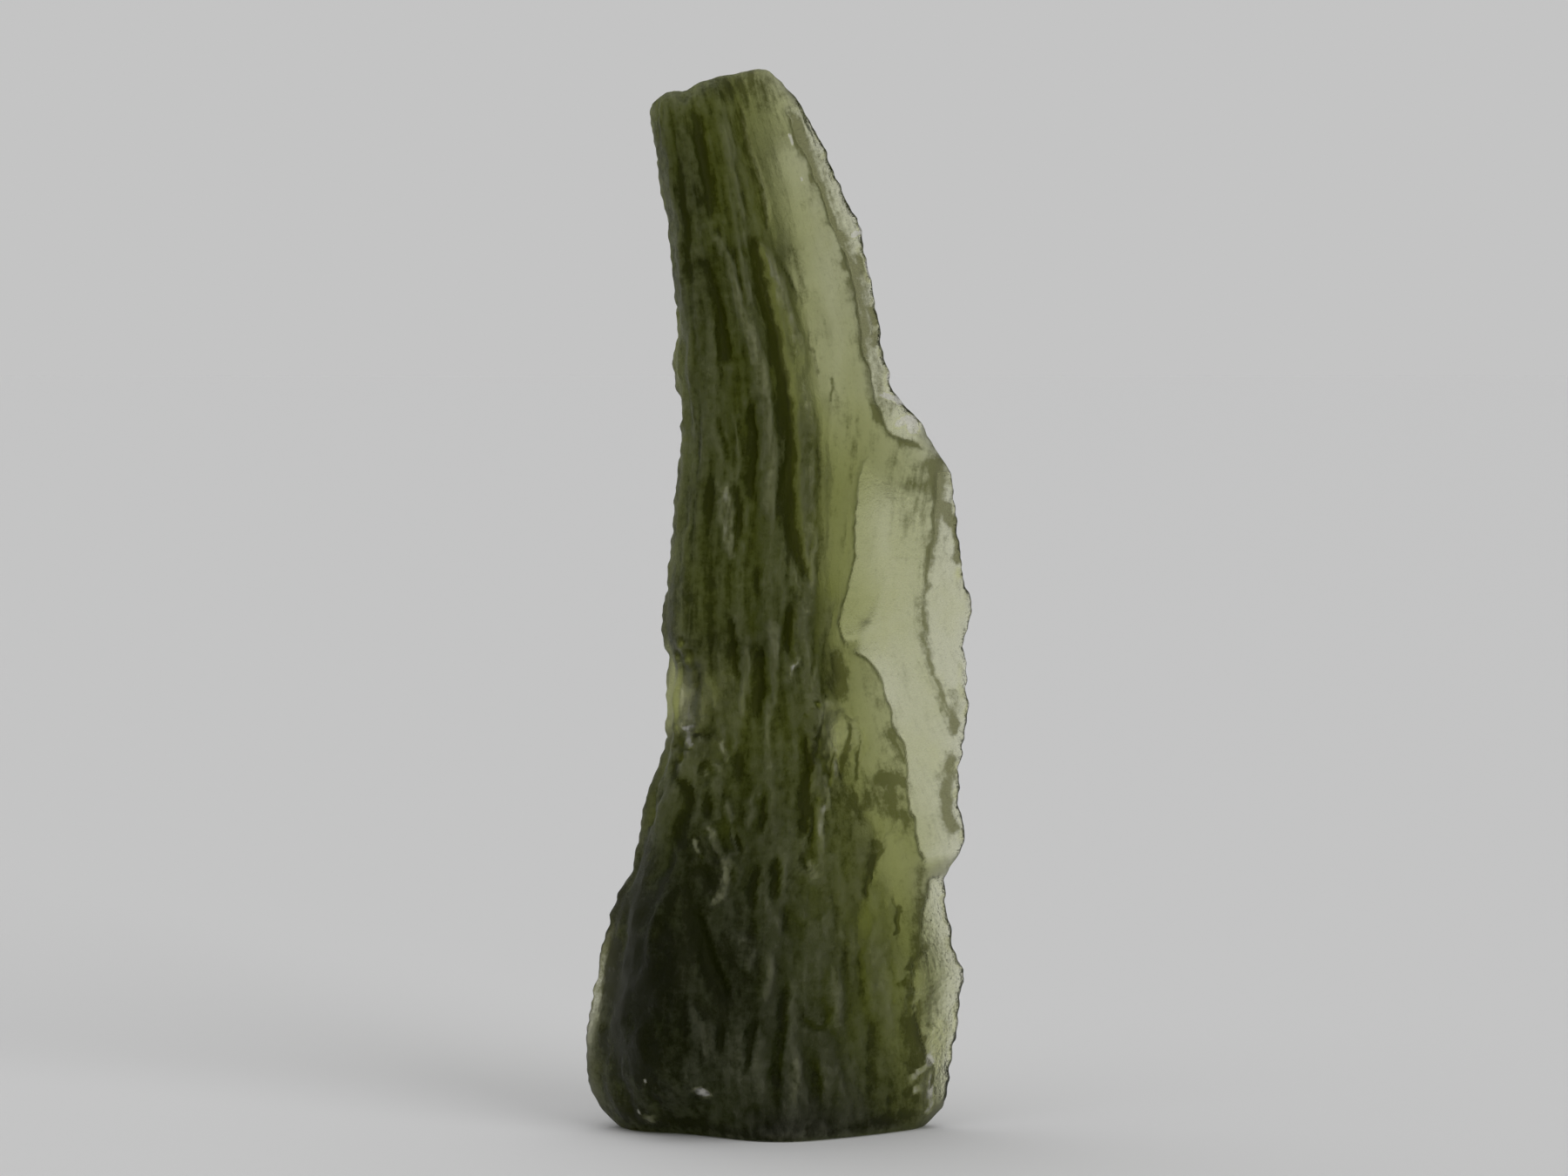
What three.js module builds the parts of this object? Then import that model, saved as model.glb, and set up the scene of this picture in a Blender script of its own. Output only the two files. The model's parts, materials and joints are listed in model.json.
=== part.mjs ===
import * as THREE from "three";
import { mergeVertices } from "three/addons/utils/BufferGeometryUtils.js";

// Moldavite: one upright blade of natural green glass, thick along its left side, thin as a flange along
// its right, and snapped off nearly flat at the foot that it stands on. Millimetres, +Z up. The broad
// fluted face looks toward -Y, and the middle of the foot's box is at the origin.

const height = 45;
const columns = 22; // grid squares across the broad face
const rows = 84; // grid squares up it
const layers = 4; // grid squares through the thin edges
const cornerRounding = 0.3; // 0 keeps a section's corners square, 1 makes it an ellipse
const crownRounding = 1.3; // height over which the worn tip draws in
const crownShare = 0.6; // share of its thickness that the tip keeps
const glassColour = 0x5f6634;
const glassRoughness = 0.3;

// The two side edges, as [height, distance from the middle line].
const leftEdge = [
  [0, -6.9], [0.4, -7.35], [1.2, -7.85], [1.9, -8.2], [3.6, -8.25], [6.2, -7.85], [7.3, -7.65],
  [9.9, -6.95], [11, -6.35], [12.9, -5.9], [14.6, -5.5], [15.8, -5], [17, -4.85], [18.4, -4.85],
  [19.7, -4.65], [21.2, -4.85], [23.2, -4.75], [25.8, -4.5], [27.5, -4.4], [29, -4.2], [31.2, -4.15],
  [32.5, -4.4], [33.8, -4.25], [36.2, -4.5], [38.6, -4.75], [41, -5.15], [42.7, -5.45], [43.4, -5.5],
  [43.9, -5.35],
];
const rightEdge = [
  [0, 6.2], [0.4, 6.6], [1.2, 7], [2.5, 7.2], [4.9, 7.65], [6.7, 7.75], [8.1, 7.4], [9.9, 7.1],
  [10.7, 7.1], [11.6, 7.6], [12.9, 7.85], [14, 7.6], [15.8, 7.7], [18, 8.05], [18.8, 7.8], [19.3, 7.95],
  [20.3, 7.75], [21.9, 8.2], [22.5, 8.2], [23.7, 7.8], [24.9, 7.6], [26.4, 7.4], [28, 7.15], [29.6, 6.2],
  [30.9, 5.2], [31.2, 4.8], [32.3, 4.55], [34.5, 4.05], [36.9, 3.6], [38.3, 3.35], [40.5, 2.3],
  [42.3, 1.5], [43.3, 1], [44.2, 0.3],
];

// How high the tip reaches, as [share of the width from left to right, height].
const crown = [
  [0, 43.5], [0.08, 43.95], [0.25, 44.1], [0.38, 44.5], [0.65, 44.85], [0.78, height], [0.88, 44.9],
  [1, 44.1],
];

// Thickness across a section, as [height, then one thickness for each station].
const stations = [0, 0.05, 0.12, 0.25, 0.4, 0.52, 0.62, 0.72, 0.85, 0.95, 1];
const thickness = [
  [0, 0.8, 3, 5, 7, 8, 8.4, 7.8, 6.4, 4.2, 2, 0.8],
  [4, 0.5, 2.2, 7.2, 9.4, 8.4, 7, 6, 5, 3, 1.2, 0.4],
  [9, 0.8, 3, 7.6, 8.6, 6.8, 6.2, 5.2, 4.4, 2.8, 0.9, 0.4],
  [14, 2.4, 4.8, 6.2, 5.8, 5.8, 5, 3.2, 2.2, 1.3, 0.7, 0.4],
  [19, 2.4, 4.5, 5.2, 5.5, 5.6, 3.6, 1.9, 1.25, 0.85, 0.55, 0.35],
  [25, 2.4, 4.5, 5.3, 5.5, 5, 3, 2.1, 1.2, 0.95, 0.6, 0.35],
  [31, 2.4, 4.5, 5.4, 5.3, 5, 3.4, 2, 1.5, 1.1, 0.6, 0.35],
  [38, 2.4, 4.5, 5.4, 5.4, 4.5, 3.1, 1.9, 1.4, 1, 0.65, 0.4],
  [45, 2, 3.4, 4.2, 4.6, 4.2, 3.4, 2.6, 2, 1.3, 0.8, 0.4],
];

// The blade's slight bow, and how far the flange is set back from it, as [height, distance back].
const bow = [[0, 0], [8, 0.3], [18, 0], [28, -0.5], [37, -0.3], [45, 0.6]];
const flangeSetBack = [[0, 0], [8, 0.2], [16, 0.7], [26, 0.8], [33, 0.3], [45, 0]];
const flangeFrom = 0.45; // share of the width where the flange starts to set back
const flangeTo = 0.85;

// Flutes etched along the blade. A path is [height, distance from the middle line], and a flute that
// has a negative depth is a rib.
const frontFlutes = [
  { path: [[43.7, -1.7], [41, -1.1], [38.8, -0.6], [37.5, -0.9], [35.3, -0.6], [32.7, 0], [30.3, 0.4],
    [27.3, 0.4], [25.4, 0.5], [23.8, 0.8]], width: 0.5, depth: 0.6 },
  { path: [[42.5, -3.2], [40.6, -3], [38.4, -2.8], [36.2, -2.8], [34.3, -2.3], [32.1, -2]],
    width: 0.5, depth: 0.4 },
  { path: [[37.7, -0.2], [35.4, 0.7], [33.6, 1.3], [31.4, 1.6], [27.3, 1.85], [23.6, 1.7]],
    width: 0.4, depth: 0.25 },
  { path: [[30.3, -1], [27.3, -1.1], [24.3, -1.2]], width: 0.4, depth: 0.3 },
  { path: [[22.5, 0.4], [20.4, 0.2], [17.3, 0.2], [15.4, 0.9], [12.5, 1.1], [9, 0.8]],
    width: 0.5, depth: 0.4 },
  { path: [[11, -4], [9.1, -3.5], [6.9, -2.8], [5.4, -2]], width: 0.7, depth: 0.35 },
  { path: [[1, -3.9], [-3, -3.9]], width: 2.1, depth: 1.7 },
];
const backFlutes = [
  { path: [[43, -3.6], [38, -3], [33, -2.7], [28, -2.9], [23, -2.5]], width: 0.6, depth: 0.5 },
  { path: [[44, -0.6], [39, 0], [34, 0.3], [29, 0.6], [24, 0.5], [19, 0.8]], width: 0.55, depth: 0.4 },
  { path: [[30, -0.9], [25, -1], [20, -1.2], [15, -0.9], [10, -0.4]], width: 0.7, depth: 0.55 },
  { path: [[16, 4.2], [12, 3.6], [8, 3.7], [4, 4]], width: 0.7, depth: 0.4 },
  { path: [[16, -3.2], [12, -3.9], [7, -4.6], [3, -4.9]], width: 0.7, depth: 0.5 },
];
const fluteFade = 2.5; // height over which a flute dies out at each end

// A smooth function through points whose first number is where, and whose other numbers are the values.
function curveThrough(points) {
  const places = points.map((point) => point[0]);
  const values = points.flatMap((point) => point.slice(1));
  const curve = new THREE.CubicInterpolant(places, values, points[0].length - 1);
  return (place) => Array.from(curve.evaluate(place));
}

function makeFlutes(flutes) {
  return flutes.map(({ path, width, depth }) => ({
    middle: curveThrough([...path].sort((a, b) => a[0] - b[0])),
    top: path[0][0],
    bottom: path[path.length - 1][0],
    width,
    depth,
  }));
}

// How deep the flutes cut at one spot on a face.
function carve(flutes, x, z) {
  let depth = 0;
  for (const flute of flutes) {
    const fade = THREE.MathUtils.smoothstep(z, flute.bottom - fluteFade, flute.bottom + fluteFade)
      * (1 - THREE.MathUtils.smoothstep(z, flute.top - fluteFade, flute.top + fluteFade));
    const offset = (x - flute.middle(z)[0]) / flute.width;
    depth += flute.depth * fade * Math.exp(-offset * offset);
  }
  return depth;
}

// The share of its full thickness that the blade has at one depth below the worn tip.
function thicknessKept(belowTip) {
  const settled = Math.min(1, belowTip / crownRounding);
  return crownShare + (1 - crownShare) * Math.sqrt(1 - (1 - settled) ** 2);
}

// A box of grid squares, mapped point by point onto the blade.
function makeMoldavite() {
  const left = curveThrough(leftEdge);
  const right = curveThrough(rightEdge);
  const crownHeight = curveThrough(crown);
  const sectionAt = curveThrough(thickness);
  const middleAt = curveThrough(bow);
  const setBackAt = curveThrough(flangeSetBack);
  const front = makeFlutes(frontFlutes);
  const back = makeFlutes(backFlutes);

  const box = new THREE.BoxGeometry(2, 2, 1, columns, layers, rows);
  box.deleteAttribute("normal");
  box.deleteAttribute("uv");
  box.translate(0, 0, 0.5);
  const blade = mergeVertices(box);

  const position = blade.getAttribute("position");
  for (let i = 0; i < position.count; i += 1) {
    const u = position.getX(i);
    const v = position.getY(i);
    const across = u * Math.sqrt(1 - cornerRounding * v * v / 2);
    const through = v * Math.sqrt(1 - cornerRounding * u * u / 2);
    const share = (across + 1) / 2;
    const tip = crownHeight(share)[0];
    const z = position.getZ(i) * tip;
    const x = THREE.MathUtils.lerp(left(z)[0], right(z)[0], share);

    const section = sectionAt(z).map((value, station) => [stations[station], value]);
    const half = curveThrough(section)(share)[0] / 2 * thicknessKept(tip - z);
    const cut = carve(through < 0 ? front : back, x, z);
    const setBack = setBackAt(z)[0] * THREE.MathUtils.smoothstep(share, flangeFrom, flangeTo);
    position.setXYZ(i, x, middleAt(z)[0] + setBack + through * (half - cut), z);
  }

  blade.computeBoundingBox();
  const middle = blade.boundingBox.getCenter(new THREE.Vector3());
  blade.translate(-middle.x, -middle.y, -blade.boundingBox.min.z);
  const material = new THREE.MeshStandardMaterial({ color: glassColour, roughness: glassRoughness });
  const mesh = new THREE.Mesh(blade, material);
  mesh.name = "moldavite";
  return mesh;
}

const moldavite = new THREE.Group();
moldavite.add(makeMoldavite());
export default moldavite;
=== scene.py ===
import json
import math
import random

import bmesh
import bpy
import numpy as np
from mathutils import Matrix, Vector, noise
from mathutils.bvhtree import BVHTree

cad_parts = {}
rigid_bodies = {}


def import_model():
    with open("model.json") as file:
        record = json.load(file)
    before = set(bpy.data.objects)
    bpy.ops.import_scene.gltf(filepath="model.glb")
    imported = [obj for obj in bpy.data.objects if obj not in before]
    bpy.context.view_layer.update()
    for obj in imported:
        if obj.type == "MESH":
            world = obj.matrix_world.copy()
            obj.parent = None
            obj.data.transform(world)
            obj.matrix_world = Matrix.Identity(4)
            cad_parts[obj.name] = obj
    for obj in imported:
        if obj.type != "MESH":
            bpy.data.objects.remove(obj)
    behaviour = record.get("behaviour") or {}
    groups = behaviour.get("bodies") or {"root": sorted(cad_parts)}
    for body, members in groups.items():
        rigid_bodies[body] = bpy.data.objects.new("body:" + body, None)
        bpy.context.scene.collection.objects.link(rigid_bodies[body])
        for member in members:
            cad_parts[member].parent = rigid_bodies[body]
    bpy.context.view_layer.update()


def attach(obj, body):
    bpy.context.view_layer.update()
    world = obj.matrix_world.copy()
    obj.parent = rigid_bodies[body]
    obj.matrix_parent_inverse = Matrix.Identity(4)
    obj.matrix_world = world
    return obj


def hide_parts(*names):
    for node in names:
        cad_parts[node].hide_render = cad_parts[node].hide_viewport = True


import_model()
mm = 0.001
tiny = 0.000001  # keeps a division away from zero

# What a user would change on the stone, in mm unless a note says otherwise. Later stages have their own.
stone = {
    "node": "moldavite",
    "seed": 11,
    "weldWithin": 0.001,  # CAD corners as near as this are one
    "smoothing": 2,  # rounds of subdivision over the CAD squares
    "undersideBelow": -0.8,  # Z of the normals of the faces under the foot
    "rimAngle": 0.7,  # radians between two faces where the foot's rim starts
    "rimCrease": 0.35,  # how sharp that rim stays, 0 to 1
    "leastThickness": 0.3,  # glass left wherever the relief cuts
    "frontLimit": 0.75,  # share of the glass that the front's cuts may take, less half of leastThickness
    "leastAllowed": 0.001,  # least cut that a limit is worked out for
    "strokeStep": 0.15,  # between the points of a smoothed stroke
    "strokeFades": (0.9, 0.9),  # over which a stroke dies out at its two ends
    "toneFades": (0, 0),  # a tone keeps its strength up to its ends
    "strokeSpread": 3,  # widths from its line within which a stroke is worked out
    "ledgeSpread": 2,  # and how many times its reach a ledge adds to them
    "steepSide": 0.6,  # share of its width that a stroke's right side takes
    "gentleSide": 1.15,  # and its left side
    "straying": (0.14, 0.08),  # how far broad and fine noise push a stroke off its line
    "seedShift": 17.3,  # how far apart two seeds read the noise, in features
    "justInside": 0.02,  # how far under the skin its thickness is measured from
    "thinToSolid": (1.5, 4),  # mm of glass over which thin turns to solid
    "faceTurn": (0.1, 0.6),  # how squarely the skin faces front, or back, where the cuts there come in
}

# Lines that more than one stroke follows, as (across, height) down the fluted face.
bevelEdge = [(0.1, 43.7), (0.6, 42.3), (1.7, 40), (2.4, 37.8), (2.8, 37.2), (3.1, 35.8), (3.3, 34.3),
             (4, 31.4), (4.5, 29.8), (5.2, 29.4), (6, 29.2)]
flangeStep = [(4, 29), (3.4, 27.8), (3.2, 25.6), (3.1, 23.7), (2.6, 22.2), (2.5, 21.5), (2.9, 20.4)]
scaleEdge = [(2.9, 20.4), (4, 19.8), (4.5, 18.6), (4.9, 17.6), (4.9, 17), (5.4, 16.2), (5.5, 14.3),
             (5.5, 13.5), (5.8, 13.1), (5.9, 12.2), (6.2, 11.1)]
rimLine = [(6.6, 28.3), (6.7, 27.4), (6.6, 25.2), (6.2, 23), (6.2, 21.9), (6.4, 19.9), (7, 18.5),
           (7.5, 17.1)]
footRim = [(6.5, 11), (6.1, 9.1), (6, 7.4), (5.7, 7.1), (5.6, 6.2), (5.8, 4.4), (6.2, 3.3),
           (6.6, 2.4), (6.3, 1.1)]

# Strokes of the fluted face: kind, width, depth and path. A groove cuts, a rib stands up and a hollow is a
# broad soft groove. A ledge drops on one side, over the distance that follows its path, to the left where
# that is negative. A last pair gives end fades of the stroke's own.
frontStrokes = [
    # the main groove, in two lengths
    ("groove", 0.22, 0.5, [(-1.7, 43.7), (-1.4, 42.2), (-0.8, 40), (-0.5, 38.1)]),
    ("groove", 0.36, 0.6, [(-1, 38.1), (-0.7, 35.8), (-0.1, 33.4), (0.3, 31.2), (0.5, 28.7), (0.5, 26.3),
                           (0.9, 24.1), (1.1, 23.2)]),
    # left of it, from the crown down
    ("rib", 0.25, 0.2, [(-2.5, 43.1), (-1.8, 40.4), (-1.4, 38.3)]),
    ("groove", 0.36, 0.26, [(-3.4, 43.5), (-3, 40.5), (-2.7, 38.3)]),
    ("groove", 0.35, 0.3, [(-3.2, 37.4), (-2.6, 34.9), (-2.1, 32.3)]),
    ("rib", 0.22, 0.24, [(-3, 38.3), (-2, 36.9), (-1.7, 35.6), (-1.3, 34.3), (-0.6, 32), (-0.4, 30.7)]),
    ("groove", 0.16, 0.25, [(-2, 37.8), (-1.6, 35.8), (-1.1, 33.5)]),
    ("rib", 0.16, 0.18, [(-1.4, 37.4), (-1.1, 35.4), (-0.8, 34.6)]),
    ("groove", 0.3, 0.2, [(-4.3, 41.3), (-3.8, 38.2), (-3.5, 35.6)]),
    ("rib", 0.3, 0.15, [(-4.6, 40.5), (-4.1, 36.9), (-3.7, 31.8)]),
    ("groove", 0.14, 0.12, [(-2.8, 34.7), (-2.4, 31.4)]),
    ("rib", 0.12, 0.15, [(-2.9, 35.1), (-2.5, 32.3)]),
    # right of it, as far as the bevel
    ("rib", 0.3, 0.28, [(-0.6, 37.7), (0.1, 35.6), (1, 33.2), (1.2, 31.8)]),
    ("ledge", 0.12, 0.3, [(-0.2, 37.4), (0.6, 35.8), (1, 35.1)], 0.9),
    ("groove", 0.09, 0.12, [(1.1, 35.1), (1.4, 33.2), (1.8, 31.3)]),
    ("ledge", 0.1, 0.5, bevelEdge, 4),
    ("groove", 0.09, 0.2, bevelEdge),
    ("hollow", 1, 0.45, [(0.2, 42.7), (1.5, 38.7), (2, 35.8), (2.4, 29.6), (2.3, 22.5)], 0, (1.5, 2)),
    # the middle of the blade
    ("groove", 0.26, 0.35, [(-1, 31.2), (-1.1, 26.5)]),
    ("rib", 0.28, 0.28, [(-0.5, 31.8), (-0.2, 28.5), (-0.4, 25.8)]),
    ("rib", 0.2, 0.28, [(-2.3, 27.8), (-2.1, 25.4), (-2, 24.3)]),
    ("groove", 0.16, 0.22, [(-1.8, 27.9), (-1.6, 25)]),
    ("groove", 0.3, 0.22, [(-3, 28.1), (-2.8, 25.6)]),
    ("groove", 0.14, 0.15, [(-2.6, 30.7), (-2.1, 28.3)]),
    ("rib", 0.14, 0.15, [(-1.9, 30.9), (-1.6, 28.3)]),
    ("groove", 0.2, 0.2, [(-0.8, 24.5), (-1, 22.7)]),
    ("rib", 0.22, 0.3, [(0.3, 25.5), (0.7, 23.9), (0.6, 23)]),
    ("groove", 0.3, 0.45, [(0.5, 22.8), (0.2, 20.2)]),
    ("groove", 0.3, 0.35, [(-2.1, 22.3), (-1.7, 19)]),
    ("groove", 0.25, 0.3, [(-0.7, 21), (-0.8, 18.6), (-1, 17.4)]),
    ("rib", 0.2, 0.22, [(-1.3, 21.6), (-1.4, 19), (-1.6, 17.5)]),
    ("rib", 0.2, 0.25, [(-0.2, 22.3), (-0.2, 19.4), (-0.5, 16.4)]),
    # fine lines beside the flange
    ("groove", 0.13, 0.16, [(1.8, 30.7), (1.7, 25.9), (1.6, 21.6), (1.3, 19)]),
    ("groove", 0.09, 0.1, [(2.3, 31.4), (2.1, 22.3)]),
    ("groove", 0.09, 0.12, [(2.8, 27.4), (2.9, 25.9), (2.6, 23.3)]),
    ("groove", 0.09, 0.08, [(1.3, 30.3), (1.3, 24.1)]),
    ("groove", 0.09, 0.08, [(3.2, 31.8), (3.3, 29)]),
    ("ledge", 0.1, 0.25, [(2.2, 22.7), (1.9, 19.9), (1.8, 18.1)], 0.6),
    ("groove", 0.45, 0.35, [(2.5, 21), (2.5, 18.2)]),
    # the flange: its step, the scale below and the line inside its rim
    ("ledge", 0.08, 0.9, flangeStep, 1.5, (3.5, 0.5)),
    ("groove", 0.08, 0.18, flangeStep),
    ("ledge", 0.09, 0.9, scaleEdge, 1.8, (0.5, 0.5)),
    ("groove", 0.07, 0.1, scaleEdge),
    ("groove", 0.12, 0.22, rimLine),
    ("ledge", 0.1, 0.6, rimLine, 3, (1.5, 0.6)),
    ("groove", 0.5, 0.12, [(5, 27.4), (4.4, 25.6), (4.8, 24.3), (5.3, 24.5)]),
    # between the scale and the thick left side
    ("rib", 0.2, 0.3, [(0.9, 20.5), (0.4, 19.4)]),
    ("ledge", 0.12, 0.4, [(2.1, 18.5), (1.6, 16.8), (1.4, 15.5)], 0.7),
    ("rib", 0.14, 0.22, [(2.2, 18.4), (2.9, 17.4), (3.1, 16.5)]),
    ("groove", 0.16, 0.25, [(3, 17.2), (2.8, 15.4), (3, 14.8)]),
    ("groove", 0.14, 0.2, [(2.3, 16.8), (2.2, 15.2)]),
    ("groove", 0.12, 0.2, [(3.4, 17.8), (3.5, 16.8), (3.3, 14.8)]),
    ("rib", 0.2, 0.2, [(3.7, 17.2), (3.7, 15.5)]),
    ("ledge", 0.12, 0.35, [(1.5, 15), (1.3, 13.1), (1, 11.6), (1.7, 10.9)], 0.8),
    ("groove", 0.24, 0.35, [(1.1, 17.4), (1.2, 14.8), (1, 12.3)]),
    ("rib", 0.22, 0.22, [(1.8, 14.4), (1.7, 12.6), (1.8, 11.7)]),
    ("groove", 0.3, 0.3, [(3.5, 13.9), (4.2, 12.6), (3.9, 10.8), (3.7, 9.7)]),
    ("ledge", 0.12, 0.35, [(4.6, 12.6), (4, 11.3), (4, 9.9)], 1),
    ("groove", 0.12, 0.15, [(4.3, 14.8), (4.9, 13.7)]),
    ("rib", 0.25, 0.2, [(3.9, 15.1), (5.1, 15.1)]),
    # the pale rim of the foot's right corner, then a straight crack and two hooked ones
    ("ledge", 0.1, 0.6, footRim, 3),
    ("groove", 0.1, 0.15, footRim),
    ("groove", 0.06, 0.2, [(5, 9.5), (5, 8.3)]),
    ("groove", 0.1, 0.2, [(4.6, 6.7), (5, 6.3), (5.4, 6.4), (5.4, 7)]),
    ("groove", 0.12, 0.22, [(1, 5.7), (1.2, 5), (1.6, 4.6), (1.9, 4.9), (2.1, 5.6)]),
    # the foot
    ("groove", 0.2, 0.25, [(-0.8, 11.9), (-1.2, 9.5)]),
    ("groove", 0.3, 0.3, [(-0.1, 12.1), (-0.2, 9.7)]),
    ("groove", 0.22, 0.25, [(0.5, 10.1), (0.3, 8.2)]),
    ("groove", 0.35, 0.35, [(-3.6, 10.2), (-2.9, 7.7), (-1.9, 5.7)]),
    ("groove", 0.3, 0.25, [(-4.9, 9.9), (-4.8, 8.1)]),
    ("rib", 0.4, 0.3, [(-3.8, 6.2), (-3, 4.4), (-2.9, 3.3)]),
    ("rib", 0.4, 0.3, [(-1.6, 9), (-1.3, 7.9), (-1.5, 6.8)]),
    ("groove", 0.25, 0.3, [(-2.4, 5.1), (-2.6, 3.5)]),
    ("groove", 0.22, 0.3, [(-1, 5.3), (-1.5, 2.6)]),
    ("rib", 0.25, 0.22, [(-0.6, 8.2), (-0.3, 7.3), (-0.7, 5.5)]),
    ("groove", 0.22, 0.3, [(0.3, 6.8), (0.2, 5), (-0.1, 2)]),
    ("groove", 0.18, 0.25, [(3.6, 8.2), (3.5, 6.1), (3.8, 5.3)]),
    ("rib", 0.3, 0.2, [(2.4, 7.7), (2.5, 5.4), (2.8, 4)]),
    ("groove", 0.3, 0.08, [(4.2, 5.5), (4, 2.8), (4.2, 1.7)]),
    ("groove", 0.3, 0.22, [(1.5, 3.7), (1.7, 1.3)]),
    ("rib", 0.3, 0.2, [(0.8, 3.9), (0.6, 1.3)]),
    # the chipped left side
    ("ledge", 0.1, 0.4, [(-3.8, 16.8), (-3.3, 17), (-3, 16.7)], 0.8),
    ("ledge", 0.1, 0.35, [(-3, 16.1), (-3.3, 15.7), (-3.4, 15)], 0.8),
    ("groove", 0.3, 0.35, [(-4.2, 16.6), (-4.3, 15.5), (-3.8, 14.3), (-4.1, 12.8), (-4, 11.9)]),
    ("groove", 0.25, 0.3, [(-2.9, 14.8), (-3, 13.2)]),
    ("rib", 0.22, 0.25, [(-2.1, 14.6), (-2, 13)]),
    ("groove", 0.2, 0.3, [(-2.1, 13.3), (-1.6, 11.9)]),
    ("groove", 0.22, 0.3, [(-3.3, 11.9), (-2.7, 10.4)]),
    ("groove", 0.22, 0.3, [(-1.6, 16.8), (-1.8, 14.8)]),
    ("groove", 0.2, 0.25, [(-0.5, 15), (-0.7, 12.6)]),
    ("rib", 0.25, 0.22, [(-1.1, 15), (-1.3, 12.6)]),
    ("ledge", 0.12, 0.3, [(-7.1, 9.7), (-6.9, 7.4), (-6.7, 6.2), (-7.5, 4.2)], -1),
    ("groove", 0.14, 0.2, [(-3.2, 20.1), (-3.4, 19.2), (-3.2, 18.5)]),
    ("ledge", 0.12, 0.35, [(-3.4, 19.9), (-3.4, 18.2)], -1.2),
    ("rib", 0.2, 0.2, [(-3, 19.7), (-2.6, 17.7)]),
]

# Shell-like scars where flakes came off: centre, radii, depth.
frontScars = [
    ((2.4, 16.5), (0.9, 1.8), 1.3),
    ((-4.1, 18.5), (0.95, 2.1), 1.2),
    ((-2.6, 16.3), (0.45, 0.6), 0.3),
    ((-2.9, 15.3), (0.3, 0.45), 0.2),
    ((-2.5, 12.6), (0.5, 0.95), 0.5),
    ((-2.1, 11), (0.4, 0.8), 0.4),
    ((4.8, 11.2), (0.9, 1.5), 0.25),
    ((3.5, 9.1), (0.7, 0.9), 0.2),
    ((-7.6, 5.9), (0.5, 1.6), 0.3),
    ((6.6, 5.5), (0.7, 1.3), 0.3),
    ((6.4, 1.8), (0.6, 0.7), 0.35),
    ((7, 12.8), (0.5, 0.8), 0.2),
    ((1.5, 9.9), (0.6, 0.9), 0.2),
]

# Hollows of the back, where the glass is thin and lets more light through: centre, radii, share taken.
backHollows = [
    ((4.2, 17.9), (1.5, 2.4), 0.2),
    ((2, 16.8), (1.7, 2.8), 0.3),
    ((-4.1, 18.5), (2.4, 2.2), 0.64),
    ((4.8, 11), (1.2, 2), 0.12),
    ((-7.6, 6.2), (2, 2.8), 0.4),
    ((1.8, 21.6), (1.2, 3), 0.16),
]

# Where the skin's tone differs from what its relief makes it: centre, radii, what the veil is multiplied by,
# # and the darkening added, partly stain and partly painted shade, as on the foot's dark lower left.
tonePatches = [
    ((-5.5, 7), (3.2, 5), 0.3, 0.38),
    ((-6.2, 3.4), (1.5, 3.3), 0.2, 0.65),
    ((-6.3, 9.1), (1.4, 4.5), 0.3, 0.45),
    ((-7.6, 5.3), (0.9, 1.5), 1.5, 0),
    ((-7.3, 7.7), (0.5, 0.8), 1.5, 0.05),
    ((-2.7, 8.4), (2.2, 3.5), 0.7, 0.15),
    ((-2.2, 6.6), (0.9, 2.6), 0.6, 0.3),
    ((1.4, 4), (2, 4), 1, -0.6),
    ((-3.4, 11.3), (1.5, 2), 0.6, 0.3),
    ((-3.8, 38.7), (1.6, 6), 0.8, 0.25),
    ((-3.4, 24.5), (1.6, 5), 0.8, 0.25),
    ((-4, 21.6), (1.3, 2.5), 0.8, 0.3),
    ((-3.8, 18.4), (0.9, 1.7), 1.2, -0.7),
    ((-1.2, 44.2), (2.4, 0.8), 0.8, 0.55),
    ((2.6, 19.3), (0.4, 1.2), 0.8, 0.65),
    ((1.8, 17.1), (0.6, 1.5), 1, -0.4),
    ((6.3, 28.2), (1.2, 0.9), 1, 0.6),
    ((5.5, 26.2), (1, 1.6), 1, 0.3),
    ((6.7, 25.9), (0.5, 2.2), 1, 0.4),
    ((4, 17), (1.1, 1.8), 1, 0.08),
    ((4.2, 14.2), (1.6, 1.1), 1.5, 0.52),
    ((5, 13.9), (0.5, 1.4), 1.2, 0.35),
    ((3.3, 13.6), (1, 1.7), 1, 0.4),
    ((5.1, 8.2), (0.6, 1.2), 1, 0.35),
    ((4.2, 7.2), (1.2, 1.6), 1, -0.7),
    ((2, 22.8), (0.6, 1.6), 1, -0.4),
    ((1.8, 20.3), (0.4, 1.6), 1, -0.5),
    ((3.4, 19.8), (0.5, 1.3), 1, -0.25),
    ((6.7, 5.4), (0.6, 1.2), 1, 0.3),
    ((4, 3.2), (1.2, 2.4), 0.7, 0.3),
    ((4.9, 1.3), (2.2, 0.9), 0.6, 0.2),
    ((5.8, 3.6), (0.35, 1.4), 0.8, 0.35),
]
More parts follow.
